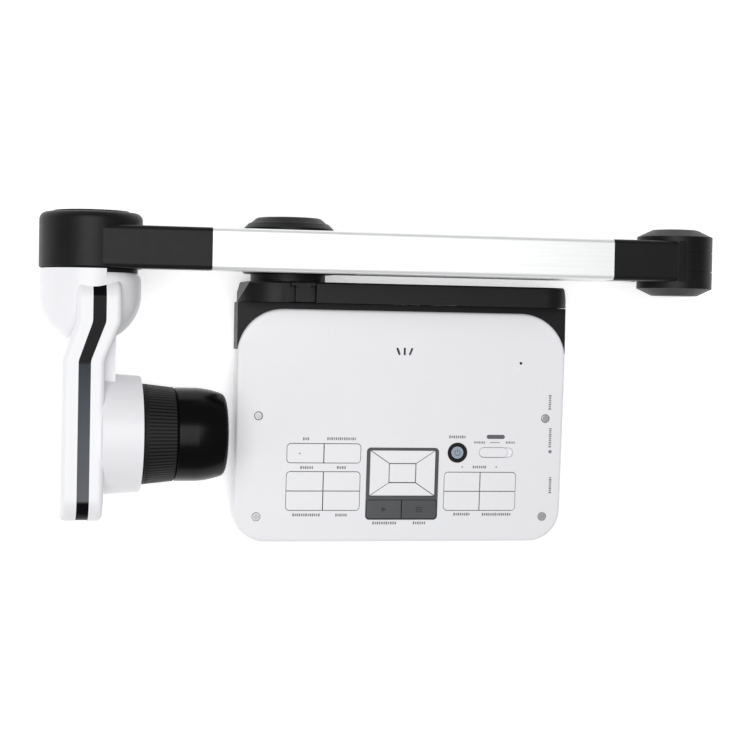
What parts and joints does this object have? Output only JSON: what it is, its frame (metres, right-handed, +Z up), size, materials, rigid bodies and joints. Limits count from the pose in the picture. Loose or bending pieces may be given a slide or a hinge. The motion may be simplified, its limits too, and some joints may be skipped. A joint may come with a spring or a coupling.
{
  "type": "document camera",
  "caption": "Folded document camera: a flat base with a tilted key panel, a two-link folding arm along its rear, and a swivelling camera head with a focus ring.",
  "frame": {"origin": "on the table, below the middle of the folded machine's bounding box", "axes": "+X to the operator's right along the folded arms, +Y to the rear, +Z up"},
  "size_m": [0.4164, 0.199, 0.0881],
  "materials": {
    "white_plastic": "fine satin white moulding",
    "black_plastic": "fine textured black moulding",
    "arm_aluminium": "satin anodised extrusion",
    "white_key": "satin key caps",
    "grey_key": "satin dark grey",
    "power_blue": "translucent blue-grey",
    "smoked_strip": "smoked gloss plastic",
    "ring_rubber": "ribbed soft rubber",
    "hood_gloss": "polished black",
    "lens_black": "flat black",
    "lens_glass": "coated optical glass",
    "lamp_clear": "frosted clear plastic",
    "foot_rubber": "moulded rubber",
    "steel": "zinc plated steel",
    "screw_steel": "bright plated screws",
    "board_green": "circuit board",
    "socket_metal": "plated socket shells",
    "socket_plastic": "socket mouldings",
    "small_black": "black capsule",
    "light_guide": "clear light guide"
  },
  "bodies": {
    "base": {"base_tray": "black_plastic", "top_cover": "white_plastic", "hinge_beam": "black_plastic", "shoulder_bracket": "steel", "shoulder_axle": "steel", "ballast_plate": "steel", "rubber_feet": "foot_rubber", "cover_screws": "screw_steel", "floor_screws": "steel", "main_board": "board_green", "key_board": "board_green", "dpad_bezel": "grey_key", "power_bezel": "black_plastic", "microphone": "small_black", "status_light": "light_guide", "vga_sockets": "socket_plastic", "hdmi_sockets": "socket_metal", "usb_socket": "socket_metal", "dc_inlet": "socket_plastic", "card_slot": "socket_metal"},
    "lower_arm": {"lower_arm_tube": "arm_aluminium", "shoulder_drum": "black_plastic", "shoulder_cap": "black_plastic", "elbow_knuckle": "black_plastic", "elbow_axle": "steel"},
    "upper_arm": {"upper_arm_tube": "arm_aluminium", "elbow_yoke": "black_plastic", "elbow_caps": "black_plastic", "wrist_drum": "black_plastic", "wrist_cap": "black_plastic"},
    "head": {"wrist_hub": "black_plastic", "head_front_shell": "white_plastic", "head_back_shell": "white_plastic", "edge_strip": "smoked_strip", "lens_barrel": "lens_black", "lens_elements": "lens_glass", "lens_hood": "hood_gloss", "sensor_board": "board_green", "lamp_window": "lamp_clear"},
    "focus_ring": {"focus_ring": "ring_rubber"},
    "pc_key": {"pc_key": "white_key"},
    "brightness_key": {"brightness_key": "white_key"},
    "lamp_key": {"lamp_key": "white_key"},
    "flip_key": {"flip_key": "white_key"},
    "recording_key": {"recording_key": "white_key"},
    "snap_key": {"snap_key": "white_key"},
    "zoom_out_key": {"zoom_out_key": "white_key"},
    "zoom_in_key": {"zoom_in_key": "white_key"},
    "freeze_key": {"freeze_key": "white_key"},
    "auto_focus_key": {"auto_focus_key": "white_key"},
    "up_key": {"up_key": "white_key"},
    "down_key": {"down_key": "white_key"},
    "left_key": {"left_key": "white_key"},
    "right_key": {"right_key": "white_key"},
    "enter_key": {"enter_key": "white_key"},
    "playback_key": {"playback_key": "grey_key"},
    "menu_key": {"menu_key": "grey_key"},
    "power_key": {"power_key": "power_blue"},
    "output_switch": {"output_switch": "white_key"},
    "arm_release": {"arm_release": "black_plastic"}
  },
  "joints": [
    {"name": "shoulder_hinge", "type": "hinge", "parent": "base", "child": "lower_arm", "pos_m": [-0.0565, 0.0777, 0.03], "axis": [0, -1, 0], "range_deg": [0, 90]},
    {"name": "elbow_hinge", "type": "hinge", "parent": "lower_arm", "child": "upper_arm", "pos_m": [0.184, 0.0777, 0.058], "axis": [0, 1, 0], "range_deg": [0, 105]},
    {"name": "wrist_hinge", "type": "hinge", "parent": "upper_arm", "child": "head", "pos_m": [-0.1786, 0.0777, 0.052], "axis": [0, 1, 0], "range_deg": [-90, 120]},
    {"name": "focus_turn", "type": "hinge", "parent": "head", "child": "focus_ring", "pos_m": [-0.1384, -0.0326, 0.052], "axis": [1, 0, 0], "range_deg": [-60, 60]},
    {"name": "pc_key_press", "type": "slide", "parent": "base", "child": "pc_key", "axis": [0, 0.0558, -0.9984], "range_m": [0, 0.0008], "stiffness_N_per_m": 900, "springref_m": -0.0009},
    {"name": "brightness_key_press", "type": "slide", "parent": "base", "child": "brightness_key", "axis": [0, 0.0558, -0.9984], "range_m": [0, 0.0008], "stiffness_N_per_m": 900, "springref_m": -0.0009},
    {"name": "lamp_key_press", "type": "slide", "parent": "base", "child": "lamp_key", "axis": [0, 0.0558, -0.9984], "range_m": [0, 0.0008], "stiffness_N_per_m": 900, "springref_m": -0.0009},
    {"name": "flip_key_press", "type": "slide", "parent": "base", "child": "flip_key", "axis": [0, 0.0558, -0.9984], "range_m": [0, 0.0008], "stiffness_N_per_m": 900, "springref_m": -0.0009},
    {"name": "recording_key_press", "type": "slide", "parent": "base", "child": "recording_key", "axis": [0, 0.0558, -0.9984], "range_m": [0, 0.0008], "stiffness_N_per_m": 900, "springref_m": -0.0009},
    {"name": "snap_key_press", "type": "slide", "parent": "base", "child": "snap_key", "axis": [0, 0.0558, -0.9984], "range_m": [0, 0.0008], "stiffness_N_per_m": 900, "springref_m": -0.0009},
    {"name": "zoom_out_key_press", "type": "slide", "parent": "base", "child": "zoom_out_key", "axis": [0, 0.0558, -0.9984], "range_m": [0, 0.0008], "stiffness_N_per_m": 900, "springref_m": -0.0009},
    {"name": "zoom_in_key_press", "type": "slide", "parent": "base", "child": "zoom_in_key", "axis": [0, 0.0558, -0.9984], "range_m": [0, 0.0008], "stiffness_N_per_m": 900, "springref_m": -0.0009},
    {"name": "freeze_key_press", "type": "slide", "parent": "base", "child": "freeze_key", "axis": [0, 0.0558, -0.9984], "range_m": [0, 0.0008], "stiffness_N_per_m": 900, "springref_m": -0.0009},
    {"name": "auto_focus_key_press", "type": "slide", "parent": "base", "child": "auto_focus_key", "axis": [0, 0.0558, -0.9984], "range_m": [0, 0.0008], "stiffness_N_per_m": 900, "springref_m": -0.0009},
    {"name": "up_key_press", "type": "slide", "parent": "base", "child": "up_key", "axis": [0, 0.0558, -0.9984], "range_m": [0, 0.0008], "stiffness_N_per_m": 900, "springref_m": -0.0009},
    {"name": "down_key_press", "type": "slide", "parent": "base", "child": "down_key", "axis": [0, 0.0558, -0.9984], "range_m": [0, 0.0008], "stiffness_N_per_m": 900, "springref_m": -0.0009},
    {"name": "left_key_press", "type": "slide", "parent": "base", "child": "left_key", "axis": [0, 0.0558, -0.9984], "range_m": [0, 0.0008], "stiffness_N_per_m": 900, "springref_m": -0.0009},
    {"name": "right_key_press", "type": "slide", "parent": "base", "child": "right_key", "axis": [0, 0.0558, -0.9984], "range_m": [0, 0.0008], "stiffness_N_per_m": 900, "springref_m": -0.0009},
    {"name": "enter_key_press", "type": "slide", "parent": "base", "child": "enter_key", "axis": [0, 0.0558, -0.9984], "range_m": [0, 0.0008], "stiffness_N_per_m": 900, "springref_m": -0.0009},
    {"name": "playback_key_press", "type": "slide", "parent": "base", "child": "playback_key", "axis": [0, 0.0558, -0.9984], "range_m": [0, 0.0008], "stiffness_N_per_m": 900, "springref_m": -0.0009},
    {"name": "menu_key_press", "type": "slide", "parent": "base", "child": "menu_key", "axis": [0, 0.0558, -0.9984], "range_m": [0, 0.0008], "stiffness_N_per_m": 900, "springref_m": -0.0009},
    {"name": "power_key_press", "type": "slide", "parent": "base", "child": "power_key", "axis": [0, 0.0558, -0.9984], "range_m": [0, 0.0008], "stiffness_N_per_m": 900, "springref_m": -0.0009},
    {"name": "output_switch_slide", "type": "slide", "parent": "base", "child": "output_switch", "axis": [1, 0, 0], "range_m": [0, 0.0034]},
    {"name": "arm_release_press", "type": "slide", "parent": "base", "child": "arm_release", "axis": [0, 0, -1], "range_m": [0, 0.002], "stiffness_N_per_m": 900, "springref_m": -0.001}
  ]
}
